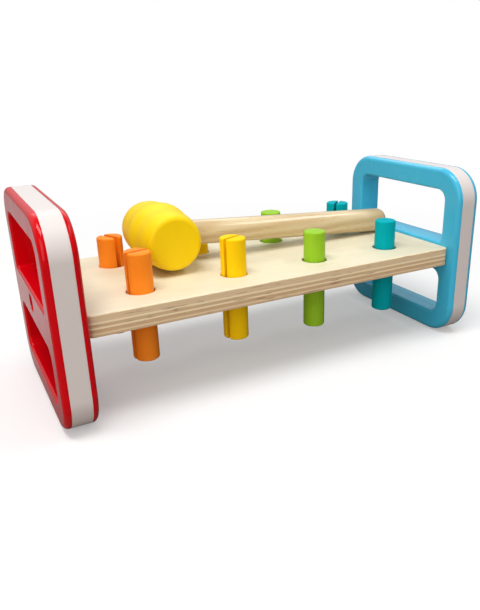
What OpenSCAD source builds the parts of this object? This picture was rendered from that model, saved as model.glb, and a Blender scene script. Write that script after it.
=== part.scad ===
// Peg pounding bench: a drilled plywood board carried between two upright end frames,
// eight split pegs that are driven through the board, and a barrel-headed hammer lying on it.
// Millimetres. X runs along the bench, Y from front to back, Z up, with the origin on the
// ground below the middle of the board.

/* [Board] */
// Length of the board between the two end frames
board_length = 237.5; // [215:0.5:320]
// Width of the board, front to back
board_width = 105; // [96:0.5:112]
// Thickness of the plywood
board_thickness = 12; // [10:0.5:18]
// Radius of the board's upright corners
board_corner = 3; // [1:0.5:8]
// Radius that eases the board's long edges
board_edge = 0.7; // [0.3:0.1:1.5]

/* [Peg holes] */
// Distance between neighbouring holes along the board
hole_pitch_x = 56; // [50:0.5:60]
// Distance between the front and the back row of holes
hole_pitch_y = 56; // [53:0.5:64]
// Gap between the halves of a split peg and the wall of the hole
hole_clearance = 0.15; // [0.1:0.05:0.6]
// Chamfer round the mouth of each hole
hole_chamfer = 0.3; // [0.2:0.1:1.2]

/* [Pegs] */
// Diameter of a peg's solid end
peg_diameter = 13.5; // [11:0.1:15]
// How much wider a peg is where its two halves stand apart
peg_spread = 2; // [0.5:0.1:2.5]
// Length of a peg
peg_length = 61.5; // [58:0.5:62.5]
// Radius round both ends of a peg
peg_round = 1; // [0.4:0.1:2]
// Length of the solid middle of a peg that is split at both ends
web_length = 7.5; // [4:0.5:14]
// Length of the solid end of a peg that is split at one end
solid_length = 23.5; // [22:0.5:28]
// Length over which the halves of a peg move apart above its solid end
spread_run = 3; // [2:0.5:6]
// Height of each front peg above the board, left to right
front_height = [22, 22, 18.5, 18.5]; // [6:0.5:40]
// Height of each back peg above the board, left to right
back_height = [18, 20, 20.5, 21]; // [6:0.5:40]
// Width of the cut in each front peg, left to right
front_slot = [2, 2, 2, 2]; // [1.5:0.1:4]
// Width of the cut in each back peg, left to right
back_slot = [3, 2, 2, 2]; // [1.5:0.1:4]
// Turn of the cut in each front peg, left to right
front_turn = [14, 23, -33, -39]; // [-90:1:90]
// Turn of the cut in each back peg, left to right
back_turn = [-66, 15, -20, 42]; // [-90:1:90]

/* [End frames] */
// Width of an end frame, front to back
frame_width = 117.5; // [112:0.5:140]
// Height of an end frame
frame_height = 113.5; // [112:0.5:150]
// Thickness of an end frame
frame_thickness = 17.5; // [14:0.5:24]
// Width of the posts and of the top and bottom rails
rail_width = 14; // [12:0.5:16]
// Outer radius of the frame's corners
frame_corner = 21; // [18:0.5:26]
// Thickness of the outer shell beside the rim band
outer_lip = 3.6; // [3.2:0.1:4.5]
// Thickness of the inner shell beside the rim band
inner_lip = 3.2; // [3.1:0.1:4.5]
// Depth of the rim band towards the window
band_depth = 5; // [3:0.5:7]
// Gap between the rim band and the cores of the shells
band_fit = 0.1; // [0.05:0.05:0.3]
// Radius that eases the edges of the rim band
band_edge = 0.25; // [0.1:0.05:0.5]
// Radius of the frame's outer edges
rim_round = 3; // [1:0.1:3]
// Radius of the edges round the window and the lower opening
window_round = 1.6; // [0.5:0.1:3]
// Radius that eases the seam between the two shells
seam_round = 0.3; // [0.1:0.05:0.6]
// Radius of the window's lower corners
sill_corner = 1.5; // [1:0.1:4]
// Rise of the crossbar above the board
crossbar_above = 2.3; // [1:0.1:5]
// Drop of the crossbar below the board
crossbar_below = 6; // [2:0.1:9]

/* [Frame fixing] */
// Diameter of the recess for the screw head
recess_diameter = 10.5; // [9:0.1:12]
// Depth of the recess for the screw head
recess_depth = 6; // [4:0.5:8]
// Diameter of the screw's shank
screw_diameter = 4; // [3:0.1:5]
// Diameter of the screw's head
screw_head = 8; // [6:0.1:8.8]
// Height of the screw's head
screw_head_height = 2.6; // [1.5:0.1:3.5]
// Radius round the top of the screw's head
screw_head_round = 1.2; // [0.4:0.1:1.4]
// Length of the cross cut into the screw's head
drive_length = 4.6; // [3:0.1:5.5]
// Width of the cross cut into the screw's head
drive_width = 1.2; // [0.8:0.1:1.6]
// Depth of the cross cut into the screw's head
drive_depth = 1.4; // [0.8:0.1:2]
// Length of the screw inside the board
screw_grip = 22; // [12:0.5:24]
// Length of the screw's tapered tip
screw_tip = 5; // [3:0.5:8]
// Diameter at the point of the tip
screw_point = 1; // [0.5:0.1:1.5]
// Gap between the screw and its holes
screw_fit = 0.1; // [0.05:0.05:0.3]
// Diameter of the moulded locating pins
pin_diameter = 6; // [4:0.1:7]
// Length of the moulded locating pins
pin_length = 10; // [6:0.5:14]
// Distance between the two locating pins of a frame
pin_spacing = 60; // [40:1:76]
// Gap between a locating pin and its hole
pin_fit = 0.1; // [0.05:0.05:0.3]

/* [Hammer] */
// Length of the hammer head
head_length = 53.5; // [48:0.5:56]
// Largest diameter of the hammer head, round its belly
head_diameter = 38.2; // [36:0.2:40]
// Length of the belly along the head
belly_length = 24; // [16:0.5:28]
// How far the belly stands out from the straight part beside it
belly_rise = 1.6; // [0.5:0.1:3]
// Length of the straight part on each side of the belly
straight_length = 1.5; // [0.5:0.1:4]
// How far each end of the head draws in towards its striking face
end_fall = 2.2; // [0.5:0.1:4]
// Radius round the striking faces
face_round = 3; // [1:0.1:4]
// Distance of the handle's flat seat from the middle of the head
seat_distance = 16; // [14:0.1:17]
// Diameter of the handle's flat seat
seat_diameter = 20; // [18:0.5:26]
// Diameter of the handle where it meets the head
handle_diameter = 15.2; // [13:0.1:17]
// Diameter of the handle near its end
handle_end_diameter = 16.6; // [14:0.1:18]
// Radius round the end of the handle
handle_round = 5; // [2:0.5:7]
// Diameter of the tenon inside the head
tenon_diameter = 11; // [8:0.5:12.5]
// Depth of the tenon below the seat
tenon_depth = 24; // [12:0.5:26]
// Gap between the tenon and its hole
tenon_fit = 0.1; // [0.05:0.05:0.3]
// Place of the head in the space between the first two back pegs, as a share of it from the left
hammer_place = 0.2; // [0.1:0.05:0.9]
// Gap between the handle and the pegs of the back row, at the head
head_row_gap = 1.7; // [1:0.1:6]
// Gap between the handle and the pegs of the back row, at the end of the handle
end_row_gap = 1.4; // [1:0.1:6]
// Gap between the end of the handle and the blue frame
handle_frame_gap = 6.8; // [2:0.1:50]
// Gap under the resting hammer
hammer_rest = 0.2; // [0.1:0.05:0.5]

/* [Hidden] */
$fn = 64;

// Overshoot of a cutting tool past the face that it cuts
cut = 0.8;
// Overlap that joins two solids of one piece
join = 1;
// Spare depth at the bottom of a blind hole
blind_spare = 0.5;
// How far neighbouring arcs of the hammer head run into each other
blend = 0.02;

// Colours of the pieces
birch = "#f0dcb4";
red = "#c80014";
blue = "#46a5cd";
white = "#ebe8e8";
steel = "#b8b8b8";
handle_wood = "#d2aa73";
head_yellow = "#ffe132";
peg_colours = ["#fa7d19", "#ffc30a", "#96cd28", "#00a5a5"];

// Where each peg is split, left to right: 2 at both ends, 1 at its upper end, 0 at its lower end
front_split = [2, 2, 0, 0];
back_split = [2, 2, 0, 1];

// Heights of the board above the ground
board_middle = frame_height / 2;
board_top = board_middle + board_thickness / 2;

// Holes for the pegs
columns = len(peg_colours);
peg_reach = (peg_diameter + peg_spread) / 2;
hole_diameter = 2 * (peg_reach + hole_clearance);
function column_x(i) = (i - (columns - 1) / 2) * hole_pitch_x;
function row_y(side) = side * hole_pitch_y / 2;

// Openings of an end frame, measured from the middle of the board
window_width = frame_width - 2 * rail_width;
window_top = frame_height / 2 - rail_width;
window_corner = max(frame_corner - rail_width, 2 * window_round);
sill = board_thickness / 2 + crossbar_above;
lintel = -(board_thickness / 2 + crossbar_below);
parting = frame_thickness / 2;

// Hammer: how far the belly and the straight part of the head reach from its middle
head_radius = head_diameter / 2;
straight_radius = head_radius - belly_rise;
half_head = head_length / 2;
belly_reach = belly_length / 2;
straight_reach = belly_reach + straight_length;
end_length = half_head - straight_reach;
// Arcs of the head: the same one swells the belly and runs out of it, another draws in each end
belly_arc = (belly_reach * belly_reach + belly_rise * belly_rise) / (4 * belly_rise);
end_arc = (end_length * end_length + end_fall * end_fall) / (2 * end_fall);
// Middle of the rounding that meets the drawn-in end and the face without a step
face_round_x = straight_radius - end_arc + 2 * blend
    + sqrt(pow(end_arc - face_round, 2) - pow(end_length - face_round, 2));
face_round_start = straight_reach + (end_length - face_round) * end_arc / (end_arc - face_round);
// Radius of the head at a distance from its middle, beyond the belly
function head_side(t) = straight_radius - end_arc
    + sqrt(end_arc * end_arc - pow(max(t - straight_reach, 0), 2));
// Place of the hammer: the handle beside the back row, the head between the first two back pegs
hammer_y = row_y(1) - peg_reach - handle_end_diameter / 2 - head_row_gap;
row_reach = min(row_y(1) - hammer_y, half_head);
row_radius = row_reach > belly_reach ? head_side(row_reach) : head_radius;
row_space = hole_pitch_x - 2 * peg_reach - 2 * row_radius;
hammer_x = column_x(0) + peg_reach + row_radius + hammer_place * row_space;
// The handle turns towards the back row, and dips until its end lies on the board
handle_run = board_length / 2 - handle_frame_gap - hammer_x;
handle_shift = head_row_gap - end_row_gap;
handle_drop = head_radius - handle_end_diameter / 2;
hammer_turn = atan(handle_shift / handle_run);
handle_length = sqrt(pow(handle_run, 2) + pow(handle_shift, 2) + pow(handle_drop, 2));
handle_contact = handle_length - handle_round;
handle_dip = asin(handle_drop / handle_contact);

// Flat rectangle with its own radius at the upper and the lower corners
module round_rectangle(w, h, upper, lower) {
    for (side = [-1, 1]) {
        translate([side * (w / 2 - upper), h / 2 - upper]) circle(upper);
        translate([side * (w / 2 - lower), lower - h / 2]) circle(lower);
    }
    translate([upper - w / 2, -h / 2 + lower]) square([w - 2 * upper, h - lower]);
    translate([-w / 2, lower - h / 2]) square([w, h - upper - lower]);
    translate([lower - w / 2, -h / 2]) square([w - 2 * lower, 2 * lower]);
}

// Carries a flat profile round the outline of such a rectangle
module sweep_round_rectangle(w, h, upper, lower) {
    for (side = [-1, 1]) {
        translate([side * (w / 2 - upper), h / 2 - upper])
            rotate(side > 0 ? 0 : 90) rotate_extrude(angle = 90) translate([upper, 0]) children();
        translate([side * (w / 2 - lower), lower - h / 2])
            rotate(side > 0 ? 270 : 180) rotate_extrude(angle = 90) translate([lower, 0]) children();
    }
    translate([w / 2, h / 2 - upper]) rotate([90, 0, 0]) linear_extrude(h - upper - lower) children();
    translate([-w / 2, lower - h / 2])
        rotate([90, 0, 180]) linear_extrude(h - upper - lower) children();
    translate([upper - w / 2, h / 2])
        rotate([90, 0, 90]) linear_extrude(w - 2 * upper) children();
    translate([w / 2 - lower, -h / 2])
        rotate([90, 0, 270]) linear_extrude(w - 2 * lower) children();
}

// Profile that rounds an outer edge at the given level
module outer_edge(radius, level) {
    translate([-radius, level - radius]) difference() {
        square(radius + cut);
        circle(radius);
    }
}

// Profile that rounds the edge of an opening at the given level
module opening_edge(radius, level) {
    translate([radius, level - radius]) mirror([1, 0]) difference() {
        square(radius + cut);
        circle(radius);
    }
}

// Board with its holes, chamfered on both faces, and the holes in its ends
module board() {
    color(birch) translate([0, 0, board_middle]) difference() {
        translate([0, 0, -board_thickness / 2]) linear_extrude(board_thickness)
            round_rectangle(board_length, board_width, board_corner, board_corner);
        for (face = [0, 1]) mirror([0, 0, face])
            sweep_round_rectangle(board_length, board_width, board_corner, board_corner)
                outer_edge(board_edge, board_thickness / 2);
        for (i = [0 : columns - 1], side = [-1, 1])
            translate([column_x(i), row_y(side), 0]) peg_hole();
        for (end = [0, 1]) mirror([end, 0, 0]) translate([board_length / 2, 0, 0])
            rotate([0, -90, 0]) end_holes();
    }
}

// Hole for one peg, about the middle of the board
module peg_hole() {
    radius = hole_diameter / 2;
    mouth = radius + hole_chamfer;
    translate([0, 0, -board_thickness / 2 - cut])
        cylinder(r = radius, h = board_thickness + 2 * cut);
    for (face = [0, 1]) mirror([0, 0, face])
        translate([0, 0, board_thickness / 2 - hole_chamfer])
            cylinder(r1 = radius, r2 = mouth + cut, h = hole_chamfer + cut);
}

// Holes in one end of the board for the screw and the locating pins
module end_holes() {
    translate([0, 0, -cut])
        cylinder(d = screw_diameter + 2 * screw_fit, h = screw_grip + blind_spare + cut);
    for (side = [-1, 1]) translate([0, side * pin_spacing / 2, -cut])
        cylinder(d = pin_diameter + 2 * pin_fit, h = pin_length + blind_spare + cut);
}

// Stands an end frame's piece upright at one end of the board: 1 right, -1 left.
// Flat shapes then lie across the bench, and their height runs outwards from the board.
module at_end(end) {
    mirror([end < 0 ? 1 : 0, 0, 0]) translate([board_length / 2, 0, board_middle])
        rotate([90, 0, 90]) children();
}

// Outline of the frame drawn in by a distance
module frame_outline(inset) {
    corner = frame_corner - inset;
    round_rectangle(frame_width - 2 * inset, frame_height - 2 * inset, corner, corner);
}

// Carries a profile round the upper window or the lower opening
module sweep_window() {
    translate([0, (window_top + sill) / 2])
        sweep_round_rectangle(window_width, window_top - sill, window_corner, sill_corner) children();
}
module sweep_lower_opening() {
    translate([0, (lintel - window_top) / 2])
        sweep_round_rectangle(window_width, lintel + window_top, window_corner, window_corner) children();
}

// Upper window and lower opening as flat shapes
module openings() {
    translate([0, (window_top + sill) / 2])
        round_rectangle(window_width, window_top - sill, window_corner, sill_corner);
    translate([0, (lintel - window_top) / 2])
        round_rectangle(window_width, lintel + window_top, window_corner, window_corner);
}

// One shell of a frame: a lip that covers the rim band, and a core that reaches the parting plane.
// The parting plane lies at zero and the shown face on top.
module frame_shell(lip, depth) {
    difference() {
        union() {
            linear_extrude(depth) frame_outline(band_depth);
            translate([0, 0, depth - lip]) linear_extrude(lip) frame_outline(0);
        }
        translate([0, 0, -cut]) linear_extrude(depth + 2 * cut) openings();
        sweep_round_rectangle(frame_width, frame_height, frame_corner, frame_corner)
            outer_edge(rim_round, depth);
        sweep_window() opening_edge(window_round, depth);
        sweep_lower_opening() opening_edge(window_round, depth);
        mirror([0, 0, 1]) {
            sweep_window() opening_edge(seam_round, 0);
            sweep_lower_opening() opening_edge(seam_round, 0);
        }
    }
}

// Outer shell with the recess and the hole for the frame's screw
module outer_shell(end) {
    at_end(end) translate([0, 0, parting]) difference() {
        frame_shell(outer_lip, frame_thickness - parting);
        translate([0, 0, -cut]) cylinder(d = screw_diameter + 2 * screw_fit, h = frame_thickness);
        translate([0, 0, frame_thickness - parting - recess_depth])
            cylinder(d = recess_diameter, h = recess_depth + cut);
    }
}

// Inner shell with the moulded locating pins that enter the end of the board
module inner_shell(end) {
    at_end(end) difference() {
        union() {
            translate([0, 0, parting]) mirror([0, 0, 1]) frame_shell(inner_lip, parting);
            for (side = [-1, 1]) translate([side * pin_spacing / 2, 0, -pin_length])
                cylinder(d = pin_diameter, h = pin_length + inner_lip);
        }
        translate([0, 0, -cut]) cylinder(d = screw_diameter + 2 * screw_fit, h = parting + 2 * cut);
    }
}

// White rim band between the lips of the two shells
module rim_band(end) {
    low = inner_lip;
    high = frame_thickness - outer_lip;
    at_end(end) difference() {
        translate([0, 0, low]) linear_extrude(high - low) difference() {
            frame_outline(0);
            frame_outline(band_depth - band_fit);
        }
        sweep_round_rectangle(frame_width, frame_height, frame_corner, frame_corner)
            outer_edge(band_edge, high);
        translate([0, 0, low]) mirror([0, 0, 1])
            sweep_round_rectangle(frame_width, frame_height, frame_corner, frame_corner)
                outer_edge(band_edge, 0);
    }
}

module red_outer_shell() { color(red) outer_shell(-1); }
module red_rim_band() { color(white) rim_band(-1); }
module red_inner_shell() { color(red) inner_shell(-1); }
module blue_outer_shell() { color(blue) outer_shell(1); }
module blue_rim_band() { color(white) rim_band(1); }
module blue_inner_shell() { color(blue) inner_shell(1); }

// A screw with its head's seat at zero and its tip below
module screw(length) {
    radius = screw_head / 2;
    difference() {
        union() {
            rotate_extrude() {
                square([radius, screw_head_height - screw_head_round]);
                square([radius - screw_head_round, screw_head_height]);
                translate([radius - screw_head_round, screw_head_height - screw_head_round])
                    circle(screw_head_round);
            }
            translate([0, 0, screw_tip - length])
                cylinder(d = screw_diameter, h = length - screw_tip + join);
            translate([0, 0, -length]) cylinder(d1 = screw_point, d2 = screw_diameter, h = screw_tip);
        }
        for (turn = [0, 90]) rotate(turn)
            translate([-drive_length / 2, -drive_width / 2, screw_head_height - drive_depth])
                cube([drive_length, drive_width, drive_depth + cut]);
    }
}

// One screw in each frame, from the recess into the end of the board
module frame_screws() {
    seat = frame_thickness - recess_depth;
    color(steel) for (end = [-1, 1]) at_end(end) translate([0, 0, seat]) screw(seat + screw_grip);
}

// A round rod as long as a peg, with eased ends, standing on the ground
module peg_rod() {
    radius = peg_diameter / 2;
    rotate_extrude() {
        square([radius - peg_round, peg_length]);
        translate([0, peg_round]) square([radius, peg_length - 2 * peg_round]);
        for (y = [peg_round, peg_length - peg_round])
            translate([radius - peg_round, y]) circle(peg_round);
    }
}

// Two rods side by side, as far apart as the halves of a split peg
module spread_rods() {
    for (side = [-1, 1]) translate([0, side * peg_spread / 2, 0]) peg_rod();
}

// Cut from the upper end of a peg downwards
module saw_cut(depth, slot) {
    translate([-peg_diameter, -slot / 2, peg_length - depth])
        cube([2 * peg_diameter, slot, depth + cut]);
}

// Peg that is split at both ends and solid in its middle
module twice_split_peg(slot) {
    depth = (peg_length - web_length) / 2;
    difference() {
        spread_rods();
        saw_cut(depth, slot);
        translate([0, 0, peg_length]) mirror([0, 0, 1]) saw_cut(depth, slot);
    }
}

// Peg that is split at its upper end: its halves move apart above the solid end
module once_split_peg(slot) {
    radius = peg_diameter / 2;
    slope = peg_spread / 2 / spread_run;
    run = peg_length - solid_length;
    low = radius - join * slope / 4;
    difference() {
        union() {
            intersection() {
                peg_rod();
                cylinder(r = peg_diameter, h = solid_length + join);
            }
            intersection() {
                spread_rods();
                translate([0, 0, solid_length + join / 2])
                    cylinder(r1 = low, r2 = low + run * slope, h = run);
            }
        }
        saw_cut(run, slot);
    }
}

// The peg of one column in the front row (-1) or the back row (1)
module peg(i, side) {
    height = side < 0 ? front_height[i] : back_height[i];
    slot = side < 0 ? front_slot[i] : back_slot[i];
    turn = side < 0 ? front_turn[i] : back_turn[i];
    split = side < 0 ? front_split[i] : back_split[i];
    color(peg_colours[i])
        translate([column_x(i), row_y(side), board_top + height - peg_length / 2])
            rotate(turn) rotate([split > 0 ? 0 : 180, 0, 0]) translate([0, 0, -peg_length / 2]) {
                if (split > 1) twice_split_peg(slot);
                else once_split_peg(slot);
            }
}

module peg_orange_front() { peg(0, -1); }
module peg_yellow_front() { peg(1, -1); }
module peg_green_front() { peg(2, -1); }
module peg_teal_front() { peg(3, -1); }
module peg_orange_back() { peg(0, 1); }
module peg_yellow_back() { peg(1, 1); }
module peg_green_back() { peg(2, 1); }
module peg_teal_back() { peg(3, 1); }

// Lays the hammer on the board: the head's middle at zero, the handle along X, the head along Y
module lay_hammer() {
    translate([hammer_x, hammer_y, board_top + hammer_rest + head_radius])
        rotate([0, handle_dip, hammer_turn]) children();
}

// Belly of the head as half a section: it swells from the straight part and runs out into it
module belly_section() {
    intersection() {
        translate([head_radius - belly_arc, 0]) circle(belly_arc, $fn = 360);
        translate([0, -belly_reach]) square([head_diameter, belly_length]);
    }
    difference() {
        translate([0, -belly_reach]) square([head_radius - belly_rise / 2, belly_length]);
        for (end = [-1, 1])
            translate([straight_radius + belly_arc - blend, end * belly_reach])
                circle(belly_arc, $fn = 360);
    }
}

// Half of the head's section: the belly, a straight part, and drawn-in ends with rounded faces
module head_section() {
    belly_section();
    translate([0, -straight_reach]) square([straight_radius, 2 * straight_reach]);
    translate([0, -half_head]) square([face_round_x, head_length]);
    for (end = [-1, 1]) {
        intersection() {
            translate([straight_radius - end_arc + blend, end * straight_reach])
                circle(end_arc, $fn = 360);
            translate([0, -face_round_start]) square([head_diameter, 2 * face_round_start]);
        }
        translate([face_round_x, end * (half_head - face_round)]) circle(face_round);
    }
}

// Head with the flat seat and the blind hole for the handle
module hammer_head() {
    color(head_yellow) lay_hammer() difference() {
        rotate([90, 0, 0]) rotate_extrude() head_section();
        translate([seat_distance, 0, 0]) rotate([0, 90, 0])
            cylinder(d = seat_diameter, h = head_radius);
        translate([seat_distance - tenon_depth - blind_spare, 0, 0]) rotate([0, 90, 0])
            cylinder(d = tenon_diameter + 2 * tenon_fit, h = head_diameter);
    }
}

// Handle: a tenon in the head, a shoulder on the seat, and a shaft that swells to its round end
module hammer_handle() {
    shoulder = handle_diameter / 2;
    end_radius = handle_end_diameter / 2;
    shaft = handle_contact - seat_distance;
    color(handle_wood) lay_hammer() translate([seat_distance, 0, 0]) rotate([0, 90, 0]) {
        translate([0, 0, -tenon_depth]) cylinder(d = tenon_diameter, h = tenon_depth + join);
        cylinder(r1 = shoulder, r2 = end_radius, h = shaft);
        translate([0, 0, shaft]) rotate_extrude() intersection() {
            union() {
                square([end_radius - handle_round, handle_round]);
                translate([end_radius - handle_round, 0]) circle(handle_round);
            }
            square([end_radius, handle_round]);
        }
    }
}

board();
red_outer_shell();
red_rim_band();
red_inner_shell();
blue_outer_shell();
blue_rim_band();
blue_inner_shell();
frame_screws();
peg_orange_front();
peg_yellow_front();
peg_green_front();
peg_teal_front();
peg_orange_back();
peg_yellow_back();
peg_green_back();
peg_teal_back();
hammer_head();
hammer_handle();
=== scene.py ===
# %% [markdown]
# A peg pounding bench
#
# A plywood board is carried between two plastic end frames. Eight split pegs stand in its holes,
# and a small hammer lies on it. The solids come from the CAD part and stay where they are, so this
# lesson is about what makes them look real: the camera, the finishes and the light. Lengths are in
# metres unless a name says otherwise.

# %% Load the frame
import math

import bpy
from mathutils import Color, Matrix, Vector


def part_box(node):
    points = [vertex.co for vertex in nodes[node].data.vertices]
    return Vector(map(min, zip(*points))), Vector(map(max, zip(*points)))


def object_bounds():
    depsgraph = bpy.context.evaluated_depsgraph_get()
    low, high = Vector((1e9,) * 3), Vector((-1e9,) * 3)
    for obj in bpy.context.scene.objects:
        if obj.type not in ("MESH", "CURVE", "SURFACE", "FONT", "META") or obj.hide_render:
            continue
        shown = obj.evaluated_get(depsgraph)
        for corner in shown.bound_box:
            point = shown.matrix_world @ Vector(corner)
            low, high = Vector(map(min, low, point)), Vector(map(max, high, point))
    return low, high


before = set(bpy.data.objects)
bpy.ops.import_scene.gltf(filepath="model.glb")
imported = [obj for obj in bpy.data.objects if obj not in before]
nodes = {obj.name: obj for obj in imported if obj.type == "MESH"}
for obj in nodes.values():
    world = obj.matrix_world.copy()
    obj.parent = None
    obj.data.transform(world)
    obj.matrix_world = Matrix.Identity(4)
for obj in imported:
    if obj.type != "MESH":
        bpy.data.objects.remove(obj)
cad_low, cad_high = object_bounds()
bpy.ops.object.select_all(action="DESELECT")


def in_mm(lengths):
    """Lengths in metres, turned to millimetres and rounded for printing."""
    return [round(1000 * length, 1) for length in lengths]


print("CAD nodes:", len(nodes), "size in mm:", in_mm(cad_high - cad_low))

# %% [markdown]
# Camera
#
# Points read from the photograph, such as the corners of the board, the feet of the pegs and the edges
# of the frames, give the place, the turn and the focal length of the lens. The axis of the lens
# doesn't pass through the middle of the picture, which the camera's shift takes up. A camera aimed
# by eye would be quicker, but no edge would then fall on the photograph's edge.

# %% Camera
# Size of the picture, focal length, and place of the lens axis from the middle, all in pixels
PHOTO_WIDTH, PHOTO_HEIGHT = 480, 610
FOCAL_PX = 605.16
AXIS_RIGHT_PX, AXIS_UP_PX = 48.25, 1.43
YAW, PITCH, ROLL = (math.radians(angle) for angle in (30.407, 20.58, -0.436))
EYE = Vector((-0.17180, -0.33567, 0.17068))
SENSOR_MM = 36
NEAREST_SEEN = 0.01

ahead = Vector((math.sin(YAW) * math.cos(PITCH), math.cos(YAW) * math.cos(PITCH), -math.sin(PITCH)))
level = Vector((math.cos(YAW), -math.sin(YAW), 0))
above = level.cross(ahead)
right = math.cos(ROLL) * level + math.sin(ROLL) * above
top = math.cos(ROLL) * above - math.sin(ROLL) * level
turn = Matrix((right, top, -ahead)).transposed().to_4x4()

bpy.ops.object.camera_add()
camera = bpy.context.object
camera.name = "photo_camera"
camera.matrix_world = Matrix.Translation(EYE) @ turn
long_side = max(PHOTO_WIDTH, PHOTO_HEIGHT)
camera.data.sensor_width = SENSOR_MM
camera.data.lens = FOCAL_PX / long_side * SENSOR_MM
camera.data.shift_x = -AXIS_RIGHT_PX / long_side
camera.data.shift_y = -AXIS_UP_PX / long_side
camera.data.clip_start = NEAREST_SEEN
bpy.context.scene.camera = camera
print("lens", round(camera.data.lens, 2), "mm, shift", round(camera.data.shift_x, 4))

# %% [markdown]
# Nodes in short form
#
# A finish is a tree of nodes. By hand, each node is placed and wired with the mouse in the shader
# editor. Here one small helper fills a node's inputs with values or with other nodes' outputs,
# another adds a node, and two more add the kinds that are used most. The trees then read almost like
# sums, and every finish can be built again from the text.

# %% Node helpers
# A Mix node holds sockets for every kind of value; these are the places of the colour ones
MIX_SHARE, MIX_COLOUR_A, MIX_COLOUR_B, MIX_COLOUR_OUT = 0, 6, 7, 2


def fill(tree, node, inputs):
    """Fill a node's inputs, each with a value or with the socket that feeds it."""
    for name, value in inputs.items():
        if isinstance(value, bpy.types.NodeSocket):
            tree.links.new(value, node.inputs[name])
        else:
            node.inputs[name].default_value = value
    return node


def put(tree, kind, inputs=None, **settings):
    """Add a node with its settings and its inputs."""
    node = tree.nodes.new(kind)
    for name, value in settings.items():
        setattr(node, name, value)
    return fill(tree, node, inputs or {})


def maths(tree, operation, a, b=0.0, c=0.0):
    """One Math node's output."""
    return put(tree, "ShaderNodeMath", {0: a, 1: b, 2: c}, operation=operation).outputs[0]


def blend(tree, share, a, b):
    """Colour a mixed with colour b by a share."""
    sockets = {MIX_SHARE: share, MIX_COLOUR_A: a, MIX_COLOUR_B: b}
    return put(tree, "ShaderNodeMix", sockets, data_type="RGBA").outputs[MIX_COLOUR_OUT]


print("node helpers:", [helper.__name__ for helper in (fill, put, maths, blend)])

# %% [markdown]
# Patterns
#
# Real surfaces vary a little from place to place. Pictures of wood and plastic could be wrapped
# round the pieces, but they would show seams and stretch on round forms. Noise that is worked out
# from a point's place in the object has neither fault, and its scale stays the real one. The
# helpers make the noise, fade it between two limits, draw it out, and use it as a mask for a colour,
# for a value or for a low relief.

# %% Noise and fades
def noise(tree, place, scale, detail, roughness=0.5, distortion=0.0):
    """Cloudy noise between 0 and 1, with a mean of about a half."""
    return put(tree, "ShaderNodeTexNoise",
               {"Vector": place, "Scale": scale, "Detail": detail, "Roughness": roughness,
                "Distortion": distortion}).outputs[0]


def fade(tree, value, start, end, low=0.0, high=1.0, **settings):
    """A value that goes from low to high while another goes from start to end."""
    return put(tree, "ShaderNodeMapRange",
               {"Value": value, "From Min": start, "From Max": end, "To Min": low, "To Max": high},
               **settings).outputs[0]


def stretch(tree, place, by):
    """A place with each axis multiplied; the smaller the factor, the longer the pattern on it."""
    return put(tree, "ShaderNodeVectorMath", {0: place, 1: by}, operation="MULTIPLY").outputs[0]


print("pattern helpers:", [helper.__name__ for helper in (noise, fade, stretch)])

# %% Masks and relief
# Depth of the relief that fibres and moulding leave, at full strength
RELIEF_DEPTH = 0.0002


def tint(tree, colour, other, mask, strength):
    """A colour that turns to another by a mask times a strength."""
    return blend(tree, maths(tree, "MULTIPLY", mask, strength), colour, other)


def lift(tree, base, mask, by):
    """A value raised by a mask times an amount."""
    return maths(tree, "MULTIPLY_ADD", mask, by, base)


def relief(tree, height, strength, depth=RELIEF_DEPTH):
    """The normal of a surface with a low relief."""
    return put(tree, "ShaderNodeBump",
               {"Height": height, "Strength": strength, "Distance": depth}).outputs[0]


print("relief at full strength in mm:", in_mm([RELIEF_DEPTH]))

# %% [markdown]
# Groups and finishes
#
# A node group is a small machine with named sockets. It is built once and placed in several
# materials, each with values of its own. A finish starts from Blender's usual shader and from the
# object's own coordinates, so a pattern stays on its piece when the piece moves. Colours are written as
# a picture stores them, because that is how they are compared with a photograph.

# %% Group helpers
REAL, COLOUR, VECTOR = "NodeSocketFloat", "NodeSocketColor", "NodeSocketVector"


def new_group(name, inputs, outputs):
    """A shader node group with named sockets: its tree, its input sockets and its output node."""
    tree = bpy.data.node_groups.new(name, "ShaderNodeTree")
    for direction, sockets in (("INPUT", inputs), ("OUTPUT", outputs)):
        for label, kind in sockets.items():
            tree.interface.new_socket(label, in_out=direction, socket_type=kind)
    return tree, tree.nodes.new("NodeGroupInput").outputs, tree.nodes.new("NodeGroupOutput")


def use_group(tree, group, inputs):
    """A group placed in a material; its outputs."""
    return put(tree, "ShaderNodeGroup", inputs, node_tree=group).outputs


print("group helpers:", [helper.__name__ for helper in (new_group, use_group)])


# %% Finish helpers
def new_finish(name):
    """A material, its tree, its Principled shader, and the object's own coordinates."""
    material = bpy.data.materials.new(name)
    material.use_nodes = True
    tree = material.node_tree
    place = tree.nodes.new("ShaderNodeTexCoord").outputs["Object"]
    return material, tree, tree.nodes["Principled BSDF"], place


def srgb(red, green, blue):
    """A colour as a picture stores it, turned to the linear values that a shader takes."""
    stored = Color((red / 255, green / 255, blue / 255))
    return (*stored.from_srgb_to_scene_linear(), 1.0)


def grey(value):
    """A grey as a shader takes it."""
    return (value, value, value, 1.0)


print("a stored mid grey of 128 is", round(srgb(128, 128, 128)[0], 3), "in a shader")

# %% [markdown]
# Wood grain
#
# Wood is drawn out along one direction. A Wave texture would give even stripes, but no plank is
# even. Noise that is stretched along the grain gives the broad streaks, and the same noise at a
# finer scale gives the fibres and the short dark pores. One group serves the board and the hammer's
# handle, each with its own stretch.

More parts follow.
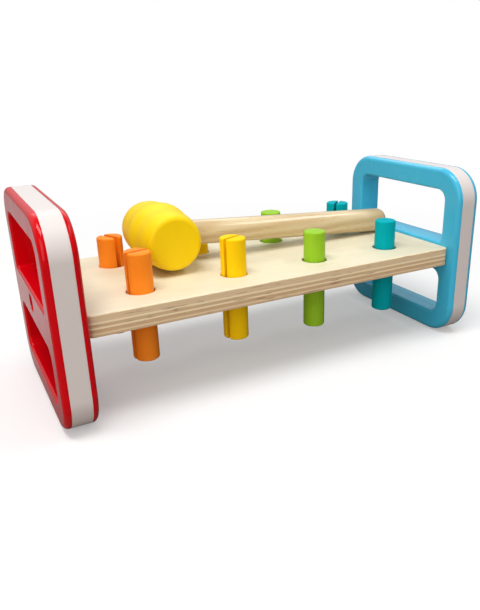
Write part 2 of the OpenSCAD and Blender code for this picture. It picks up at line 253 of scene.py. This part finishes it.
# %% Wood grain group
wood_grain, grain_in, grain_out = new_group(
    "wood_grain",
    {"Vector": VECTOR, "Along": REAL, "Across": REAL},
    {"Streaks": REAL, "Fibres": REAL, "Pores": REAL})
along, across = grain_in["Along"], grain_in["Across"]
factors = put(wood_grain, "ShaderNodeCombineXYZ", {"X": along, "Y": across, "Z": across}).outputs[0]
drawn = stretch(wood_grain, grain_in["Vector"], factors)
dashes = noise(wood_grain, drawn, scale=11.0, detail=1.0, roughness=0.4)
fill(wood_grain, grain_out, {
    "Streaks": noise(wood_grain, drawn, scale=1.0, detail=4.0, roughness=0.55, distortion=0.5),
    "Fibres": noise(wood_grain, drawn, scale=7.0, detail=4.0, roughness=0.65),
    "Pores": fade(wood_grain, dashes, start=0.66, end=0.74)})
print("group", wood_grain.name, "with", len(wood_grain.nodes), "nodes")

# %% [markdown]
# Plywood
#
# The board is built up of thin plies. On its edge the plies whose grain runs along the board are pale
# and smooth, and the ones between them show their darker end grain, with a dark fleck here and there.
# The layers could be modelled as slabs, but a sanded edge has no steps, so they are painted by
# height: a colour ramp reads how high a point lies in the board. That colours the edges, the hole
# walls and both faces at once.

# %% Plies by height
# Upper edge of each ply as a share of the thickness, and how much end grain the ply shows
PLIES = [(0.04, 0.4), (0.12, 0.85), (0.20, 0.4), (0.36, 0.95), (0.44, 0.0), (0.58, 0.85),
         (0.67, 0.0), (0.95, 0.55), (1.0, 0.0)]
# Half of the soft step between two plies as a share of the thickness, and how far a ply rises and falls
PLY_STEP = 0.014
PLY_WAVER = 0.0003

board_low, board_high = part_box("board")
plywood, tree, shader, place = new_finish("birch_plywood")
grain = use_group(tree, wood_grain, {"Vector": place, "Along": 9.0, "Across": 150.0})
height = put(tree, "ShaderNodeSeparateXYZ", {0: place}).outputs["Z"]
wavy = lift(tree, height, noise(tree, place, scale=30.0, detail=3.0), by=PLY_WAVER)
depth = fade(tree, wavy, start=board_low.z + PLY_WAVER / 2, end=board_high.z + PLY_WAVER / 2)
plies = put(tree, "ShaderNodeValToRGB", {0: depth})
steps = plies.color_ramp.elements
for ramp_end in steps:
    ramp_end.color = grey(0.0)
for (edge, below), (_, over) in zip(PLIES, PLIES[1:]):
    steps.new(edge - PLY_STEP).color = grey(below)
    steps.new(edge + PLY_STEP).color = grey(over)
cross_ply = plies.outputs[0]
print("plies:", len(PLIES), "in mm:", in_mm([board_high.z - board_low.z]))

# %% Plywood colours
FACE, FACE_STREAK = srgb(234, 229, 204), srgb(222, 206, 168)
FACE_FIBRE, FACE_PORE = srgb(212, 182, 138), srgb(176, 138, 94)
LONG_GRAIN, DARK_FLECK = srgb(247, 229, 191), srgb(120, 84, 50)
CELL, DARK_CELL, DARK_FIBRE = srgb(228, 195, 152), srgb(202, 167, 127), srgb(178, 140, 100)
# Where the edge's colour gives way to the face's, from 0 in the middle of the board to 1 on a face
EDGE_STOPS, FACE_STARTS = 0.955, 0.975

face = tint(tree, FACE, FACE_STREAK, grain["Streaks"], strength=0.5)
face = tint(tree, face, FACE_FIBRE, grain["Fibres"], strength=0.16)
face = tint(tree, face, FACE_PORE, grain["Pores"], strength=0.18)
cells = noise(tree, place, scale=1400.0, detail=2.0)
end_grain = tint(tree, blend(tree, cells, CELL, DARK_CELL), DARK_FIBRE, grain["Fibres"], strength=0.5)
from_middle = maths(tree, "ABSOLUTE", maths(tree, "MULTIPLY_ADD", depth, 2.0, -1.0))
inside = fade(tree, from_middle, start=FACE_STARTS, end=EDGE_STOPS)
colour = blend(tree, cross_ply, blend(tree, inside, face, LONG_GRAIN), end_grain)
flecks = maths(tree, "MULTIPLY", grain["Pores"], inside)
fill(tree, shader, {"Base Color": tint(tree, colour, DARK_FLECK, flecks, strength=0.5)})
print("the face's colour is", round((1 - FACE_STARTS) / 2, 4), "of the thickness deep")

# %% Plywood surface
SANDED_ROUGHNESS = 0.42

rough = lift(tree, SANDED_ROUGHNESS, grain["Fibres"], by=0.2)
sunk = lift(tree, grain["Fibres"], cross_ply, by=-0.6)
fill(tree, shader, {"Roughness": lift(tree, rough, cross_ply, by=0.15),
                    "Normal": relief(tree, sunk, strength=0.12)})
print("finish", plywood.name, "with", len(tree.nodes), "nodes")

# %% [markdown]
# Handle
#
# The handle is turned from one stick of pale hardwood. Its growth rings run along it, so its side
# shows long streaks and its end shows arcs. Stripes painted along it would leave the end bare, while
# rings round an axis beside the stick give both from one pattern. Mapping nodes lay the pattern at
# the handle's slope. A coat over the wood stands for the clear lacquer, whose highlight is sharper
# than the wood's own.

# %% Handle rings
# How far the handle falls from the middle of the head to its end, and the length of that stretch
HANDLE_FALL, HANDLE_REACH = 0.0108, 0.165
# Where the middle of the rings lies beside the handle, and how the rings lean
RING_PLACE, RING_LEAN = (0, 0.017, -0.021), (0, 0.05, 0.06)

handle_low, handle_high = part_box("hammer_handle")
handle_slope = math.asin(HANDLE_FALL / HANDLE_REACH)
to_middle = -(handle_low + handle_high) / 2
handle_wood, tree, shader, place = new_finish("handle_wood")
laid = put(tree, "ShaderNodeMapping", {"Vector": place, "Location": to_middle}).outputs[0]
laid = put(tree, "ShaderNodeMapping", {"Vector": laid, "Rotation": (0, -handle_slope, 0)}).outputs[0]
leaning = put(tree, "ShaderNodeMapping",
              {"Vector": laid, "Location": RING_PLACE, "Rotation": RING_LEAN}).outputs[0]
rings = put(tree, "ShaderNodeTexWave",
            {"Vector": leaning, "Scale": 55.0, "Distortion": 2.2, "Detail": 3.0, "Detail Scale": 0.6},
            wave_type="RINGS", rings_direction="X").outputs["Fac"]
print("handle slopes", round(math.degrees(handle_slope), 2), "degrees")

# %% Handle finish
PALE_RING, DARK_RING = srgb(227, 208, 166), srgb(190, 155, 104)
HANDLE_STREAK, HANDLE_PORE = srgb(208, 177, 128), srgb(150, 106, 62)
TURNED_ROUGHNESS = 0.32

grain = use_group(tree, wood_grain, {"Vector": laid, "Along": 14.0, "Across": 330.0})
colour = tint(tree, PALE_RING, DARK_RING, rings, strength=0.6)
colour = tint(tree, colour, HANDLE_STREAK, grain["Streaks"], strength=0.5)
colour = tint(tree, colour, HANDLE_PORE, grain["Pores"], strength=0.5)
fill(tree, shader, {"Base Color": colour,
                    "Roughness": lift(tree, TURNED_ROUGHNESS, grain["Fibres"], by=0.16),
                    "Normal": relief(tree, grain["Fibres"], strength=0.1),
                    "Coat Weight": 0.8, "Coat Roughness": 0.09})
print("finish", handle_wood.name, "with", len(tree.nodes), "nodes")

# %% [markdown]
# Paint
#
# The pegs and the hammer's head are dipped in satin paint. One flat colour would make them look like
# plastic, because paint is never quite even: it is a little thinner here and thicker there, it follows
# the fibres below, and its gloss changes from place to place. One group gives those three things
# for any colour.

# %% Paint group
# Fibres under the paint: fine across and long upwards
FIBRE_FACTORS = (900.0, 900.0, 45.0)


def vary(tree, base, mask, by):
    """A value that noise moves up and down around its mean."""
    return lift(tree, base, maths(tree, "SUBTRACT", mask, 0.5), by)


dipped_paint, paint_in, paint_out = new_group(
    "dipped_paint",
    {"Vector": VECTOR, "Colour": COLOUR, "Thin colour": COLOUR, "Unevenness": REAL, "Roughness": REAL},
    {"Colour": COLOUR, "Roughness": REAL, "Height": REAL})
clouds = noise(dipped_paint, paint_in["Vector"], scale=90.0, detail=3.0)
upright = stretch(dipped_paint, paint_in["Vector"], FIBRE_FACTORS)
lines = noise(dipped_paint, upright, scale=1.0, detail=3.0, roughness=0.6)
thin = maths(dipped_paint, "MULTIPLY", clouds, lines)
thin = maths(dipped_paint, "MULTIPLY", thin, paint_in["Unevenness"])
fill(dipped_paint, paint_out, {
    "Colour": tint(dipped_paint, paint_in["Colour"], paint_in["Thin colour"], thin, strength=3.0),
    "Roughness": vary(dipped_paint, paint_in["Roughness"], clouds, by=0.25),
    "Height": lift(dipped_paint, lines, clouds, by=0.5)})
print("group", dipped_paint.name, "with", len(dipped_paint.nodes), "nodes")

# %% [markdown]
# Painted pieces
#
# Each pair of pegs has its own colour, and the hammer's head is a lighter yellow. Five materials could
# be wired one by one, but they differ only in numbers, so one function fills the group for each. The
# group gives what changes over the surface. The shine is the same all over, so it is set on the
# shader itself, where an export can read it; it was judged by the tops of the pegs in the photograph.

# %% Painted finishes
# Colour, colour where the paint is thin, and shine
PEG_PAINTS = {
    "orange": (srgb(255, 136, 20), srgb(255, 158, 50), 0.16),
    "yellow": (srgb(255, 204, 0), srgb(255, 219, 30), 0.06),
    "green": (srgb(141, 195, 16), srgb(163, 212, 50), 0.3),
    "teal": (srgb(0, 161, 174), srgb(6, 182, 192), 0.04),
}
HEAD_PAINT = (srgb(248, 211, 0), srgb(255, 224, 22), 0.22)
# How uneven the paint is, its roughness and the strength of its relief
PEG_COAT, HEAD_COAT = (0.4, 0.46, 0.06), (0.25, 0.44, 0.05)


def coated_finish(name, coat_group, values, shine, strength):
    """A material whose colour, roughness and relief come from the group of its coat."""
    material, tree, shader, place = new_finish(name)
    coat = use_group(tree, coat_group, {"Vector": place, **values})
    fill(tree, shader, {"Base Color": coat["Colour"], "Roughness": coat["Roughness"],
                        "Normal": relief(tree, coat["Height"], strength),
                        "Specular IOR Level": shine})
    return material


def painted_finish(name, paint, coat):
    """Satin paint on wood."""
    colour, thin_colour, shine = paint
    unevenness, roughness, strength = coat
    values = {"Colour": colour, "Thin colour": thin_colour, "Unevenness": unevenness,
              "Roughness": roughness}
    return coated_finish(name, dipped_paint, values, shine, strength)


peg_paints = {name: painted_finish(f"{name}_paint", paint, PEG_COAT) for name, paint in PEG_PAINTS.items()}
head_paint = painted_finish("hammer_yellow", HEAD_PAINT, HEAD_COAT)
print("paints:", list(peg_paints), "and", head_paint.name)

# %% [markdown]
# Moulded plastic
#
# The end frames are moulded in glossy coloured plastic, with a white band between their two shells. A
# plain glossy colour would do from far away, but close to, a moulded skin isn't a mirror: it has
# a very low orange peel, and handling dulls it a little, most of all where the frames stand on the
# table. The group gives those two effects.

# %% Plastic group
floor_z = cad_low.z
# Height above the floor up to which the frames are rubbed
RUBBED_HEIGHT = 0.0035

moulded_skin, skin_in, skin_out = new_group(
    "moulded_skin",
    {"Vector": VECTOR, "Colour": COLOUR, "Rubbed colour": COLOUR, "Roughness": REAL},
    {"Colour": COLOUR, "Roughness": REAL, "Height": REAL})
spot, rubbed_colour = skin_in["Vector"], skin_in["Rubbed colour"]
peel = noise(moulded_skin, spot, scale=420.0, detail=2.0)
haze = noise(moulded_skin, spot, scale=38.0, detail=4.0, roughness=0.6)
scuffs = noise(moulded_skin, spot, scale=260.0, detail=5.0, roughness=0.75)
height = put(moulded_skin, "ShaderNodeSeparateXYZ", {0: spot}).outputs["Z"]
foot = fade(moulded_skin, height, start=floor_z + RUBBED_HEIGHT, end=floor_z)
rubbed = fade(moulded_skin, maths(moulded_skin, "MULTIPLY", foot, scuffs), start=0.42, end=0.6)
tone = tint(moulded_skin, skin_in["Colour"], rubbed_colour, haze, strength=0.12)
hazy = vary(moulded_skin, skin_in["Roughness"], haze, by=0.16)
fill(moulded_skin, skin_out, {
    "Colour": tint(moulded_skin, tone, rubbed_colour, rubbed, strength=0.5),
    "Roughness": lift(moulded_skin, hazy, rubbed, by=0.35),
    "Height": lift(moulded_skin, peel, rubbed, by=-0.6)})
print("group", moulded_skin.name, "with", len(moulded_skin.nodes), "nodes")

# %% [markdown]
# Plastic pieces
#
# The red is the deepest and the most polished colour, the blue is softer, and the white is nearly
# satin. As with the paints, they could be built one by one, but a loop that fills the same group
# three times keeps their numbers side by side.

# %% Plastic finishes
# Colour, colour where it is rubbed, roughness and shine
PLASTICS = {
    "red": (srgb(206, 0, 14), srgb(213, 25, 37), 0.16, 0.24),
    "blue": (srgb(62, 184, 222), srgb(88, 194, 227), 0.26, 0.5),
    "white": (srgb(219, 212, 210), srgb(225, 219, 217), 0.42, 0.25),
}
PEEL_STRENGTH = 0.02

plastics = {}
for name, (colour, rubbed_tone, roughness, shine) in PLASTICS.items():
    values = {"Colour": colour, "Rubbed colour": rubbed_tone, "Roughness": roughness}
    plastics[name] = coated_finish(f"{name}_plastic", moulded_skin, values, shine, PEEL_STRENGTH)
print("plastics:", list(plastics))

# %% [markdown]
# Screws
#
# The two screws sit deep in their recesses. They are zinc plated steel: metal, slightly cloudy, with
# fine marks from the rolling of the thread. The marks could be modelled, but nothing of them would
# show at this depth, so noise in the colour, the roughness and the relief is enough.

# %% Zinc plating
BRIGHT_ZINC, CLOUDY_ZINC = srgb(196, 198, 200), srgb(164, 166, 170)
ZINC_ROUGHNESS = 0.2
ZINC_RELIEF = 0.0001

zinc, tree, shader, place = new_finish("zinc_plating")
cloud = noise(tree, place, scale=700.0, detail=4.0)
fill(tree, shader, {"Base Color": blend(tree, cloud, BRIGHT_ZINC, CLOUDY_ZINC), "Metallic": 1.0,
                    "Roughness": lift(tree, ZINC_ROUGHNESS, cloud, by=0.3),
                    "Normal": relief(tree, cloud, strength=0.1, depth=ZINC_RELIEF)})
print("finish", zinc.name, "with", len(tree.nodes), "nodes")

# %% [markdown]
# Dressing the solids
#
# Each solid keeps its shape and gets its finish in its material slot. A finish could be set by hand
# in the properties of each piece, but the names already say what a piece is made of, so loops over the
# names do it. Both pegs of a colour share a finish, and still no two look quite alike, because
# the pattern depends on where the peg stands.

# %% Finishes onto the solids
finish_of = {"board": plywood, "frame_screws": zinc,
             "hammer_head": head_paint, "hammer_handle": handle_wood}
for side in ("red", "blue"):
    for part, colour in (("outer_shell", side), ("inner_shell", side), ("rim_band", "white")):
        finish_of[f"{side}_{part}"] = plastics[colour]
for colour, paint in peg_paints.items():
    for row in ("front", "back"):
        finish_of[f"peg_{colour}_{row}"] = paint
for name, finish in finish_of.items():
    slots = nodes[name].data.materials
    slots.clear()
    slots.append(finish)
print("dressed:", len(finish_of), "of", len(nodes))

# %% [markdown]
# Floor and background
#
# The bench stands on a plain white floor. The floor could be lit until it is white, but that light
# would bleach the bench too. So far from the bench the camera is simply shown white, and near the
# bench part of what it sees is the lit floor, which keeps the soft shadow. The light that the floor
# throws up under the board is held low and slightly warm, and the glossy plastics mirror a
# floor that is pale behind the bench and dark in front of it.

# %% Floor
FLOOR_SIZE = 8
# The floor lies this far under the feet, so that the two surfaces don't meet in one plane
FLOOR_DROP = 0.0003

bpy.ops.mesh.primitive_plane_add(size=FLOOR_SIZE, location=(0, 0, floor_z - FLOOR_DROP))
floor = bpy.context.object
floor.name = "studio_floor"
bpy.ops.object.transform_apply(location=True, rotation=False, scale=False)
print("floor height in mm:", in_mm([floor_z - FLOOR_DROP]))

# %% Floor finish
SEEN_FLOOR, LIGHTING_FLOOR = grey(0.92), (0.22, 0.18, 0.16, 1.0)
MIRRORED_FRONT, MIRRORED_BACK = grey(0.1), grey(0.5)
FLOOR_ROUGHNESS = 0.8
ONTO_FLOOR = (1, 1, 0)

white_floor, tree, shader, place = new_finish("white_floor")
rays = put(tree, "ShaderNodeLightPath").outputs
seen = rays["Is Camera Ray"]
backward = put(tree, "ShaderNodeSeparateXYZ", {0: place}).outputs["Y"]
behind = fade(tree, backward, start=-0.1, end=0.15)
mirrored = blend(tree, behind, MIRRORED_FRONT, MIRRORED_BACK)
unseen = blend(tree, rays["Is Glossy Ray"], LIGHTING_FLOOR, mirrored)
fill(tree, shader, {"Base Color": blend(tree, seen, unseen, SEEN_FLOOR), "Roughness": FLOOR_ROUGHNESS})
flat = stretch(tree, place, ONTO_FLOOR)
away = put(tree, "ShaderNodeVectorMath", {0: flat}, operation="LENGTH").outputs["Value"]
plain = fade(tree, away, start=0.2, end=0.55, low=0.3, interpolation_type="SMOOTHSTEP")
white = put(tree, "ShaderNodeEmission", {"Color": grey(1.0), "Strength": 1.0}).outputs[0]
shown = put(tree, "ShaderNodeMixShader",
            {0: maths(tree, "MULTIPLY", plain, seen), 1: shader.outputs[0], 2: white}).outputs[0]
fill(tree, tree.nodes["Material Output"], {"Surface": shown})
floor.data.materials.append(white_floor)
print("finish", white_floor.name, "with", len(tree.nodes), "nodes")

# %% [markdown]
# Room light
#
# The room gives soft light from all round, less of it from behind, which keeps the shade under the
# handle deep. A picture of a real studio could light the scene, but a few fades over the directions
# of the room do the same and can be read. The camera sees plain white. What the glossy plastics mirror
# is a pale backdrop behind the bench, brightest half way up, and a darker room on the camera's
# side, which is what keeps the red and the blue deep.

# %% Room
ROOM_LIGHT, ROOM_LIGHT_BEHIND = 0.46, 0.2
# Directions along Y between which the front of the room turns to its back
FRONT_STOPS, BACK_STARTS = -0.1, 0.5
# Places of the number sockets of a Mix node
MIX_VALUE_A, MIX_VALUE_B = 2, 3


def mix_values(tree, share, a, b):
    """Value a mixed with value b by a share."""
    return put(tree, "ShaderNodeMix", {MIX_SHARE: share, MIX_VALUE_A: a, MIX_VALUE_B: b}).outputs[0]


world = bpy.data.worlds.new("white_room")
bpy.context.scene.world = world
world.use_nodes = True
tree = world.node_tree
rays = put(tree, "ShaderNodeLightPath").outputs
direction = put(tree, "ShaderNodeTexCoord").outputs["Generated"]
toward = put(tree, "ShaderNodeSeparateXYZ", {0: direction}).outputs
backdrop = fade(tree, toward["Y"], FRONT_STOPS, BACK_STARTS, low=0.12)
lower = fade(tree, toward["Z"], start=0.1, end=0.55, low=0.4)
ceiling = fade(tree, toward["Z"], start=0.75, end=0.95, low=1.0, high=0.3)
mirrored = maths(tree, "MULTIPLY", maths(tree, "MULTIPLY", backdrop, lower), ceiling)
room = fade(tree, toward["Y"], FRONT_STOPS, BACK_STARTS, low=ROOM_LIGHT, high=ROOM_LIGHT_BEHIND)
strength = mix_values(tree, rays["Is Glossy Ray"], room, mirrored)
plain_white = maths(tree, "MAXIMUM", rays["Is Camera Ray"], rays["Is Transmission Ray"])
fill(tree, tree.nodes["Background"],
     {"Color": grey(1.0), "Strength": mix_values(tree, plain_white, strength, 1.0)})
print("room light", ROOM_LIGHT, "in front and", ROOM_LIGHT_BEHIND, "behind")

# %% [markdown]
# Lamps
#
# A lamp above the left end makes the tops and the left sides bright. A long strip to its right draws
# the highlight along the handle, a slightly warm fill lamp at the front keeps the colours of the pegs
# clear, and a strip behind lights the upper rims. Point lamps would be simpler, but only a wide lamp
# gives soft shadows and a long highlight.

# %% Lamps
LIT_POINT = Vector((0, 0, 0.06))
WHITE, WARM = (1, 1, 1), (1.0, 0.9, 0.81)
# Place, the two sides, watts and tint
LAMPS = {
    "overhead_lamp": ((-0.28, -0.2, 1.08), (0.7, 0.3), 7.7, WHITE),
    "right_strip": ((0.75, -0.22, 1.1), (0.8, 0.16), 3.0, WHITE),
    "front_fill": ((-1.0, -1.05, 0.62), (1.0, 1.3), 8.6, WARM),
    "back_strip": ((0.15, 1.0, 1.05), (1.2, 0.3), 2.8, WHITE),
}
for name, (lamp_place, sides, watts, lamp_tint) in LAMPS.items():
    bpy.ops.object.light_add(type="AREA", location=lamp_place)
    lamp = bpy.context.object
    lamp.name = name
    lamp.data.shape = "RECTANGLE"
    lamp.data.size, lamp.data.size_y = sides
    lamp.data.energy = watts
    lamp.data.color = lamp_tint
    lamp.rotation_euler = (LIT_POINT - lamp.location).to_track_quat("-Z", "Y").to_euler()
    print(name, watts, "W")

# %% [markdown]
# Last setting
#
# The looks never change the size of the solids. The picture is shown with the Standard view, so a colour
# comes out about as it is written.

# %% Standard view
bpy.context.scene.view_settings.view_transform = "Standard"
